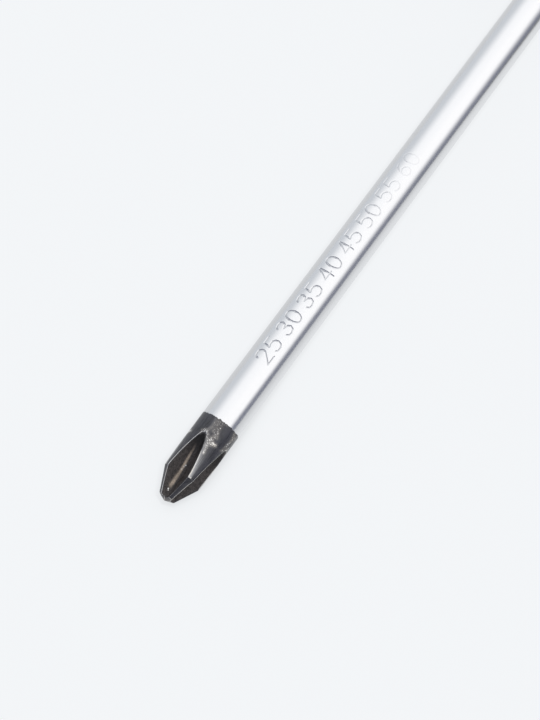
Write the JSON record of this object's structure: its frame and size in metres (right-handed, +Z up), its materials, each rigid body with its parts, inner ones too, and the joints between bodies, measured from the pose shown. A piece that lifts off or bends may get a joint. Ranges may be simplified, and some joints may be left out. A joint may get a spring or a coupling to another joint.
{
  "type": "cross-head screwdriver",
  "caption": "Cross-head screwdriver: chrome shank with a black fluted tip, hexagon bolster, ferrule, fluted wooden handle on a through tang and a leather striking cap",
  "frame": {"origin": "on the tool's axis, at the shoulder of the shank where the bolster starts", "axes": "+X along the axis towards the butt, so the tip points to -X; +Z up as the tool lies, +Y to the side"},
  "size_m": [0.2216, 0.0316, 0.0304],
  "materials": {
    "blade_steel": "satin chrome plate, with a black oxide finish over the last 13 mm of the tip",
    "bolster_steel": "satin chrome plate",
    "ferrule_steel": "nickel plate, turned",
    "pin_steel": "bright, ground flush",
    "handle_wood": "clear lacquer",
    "plate_steel": "turned",
    "leather": "vegetable tanned, cut and sanded edges",
    "rove_steel": "bright"
  },
  "bodies": {
    "root": {"blade": "blade_steel", "hex_bolster": "bolster_steel", "ferrule": "ferrule_steel", "ferrule_pin": "pin_steel", "handle": "handle_wood", "backing_plate": "plate_steel", "leather_disc_inner": "leather", "leather_disc_middle": "leather", "leather_disc_outer": "leather", "rove": "rove_steel"}
  },
  "joints": []
}
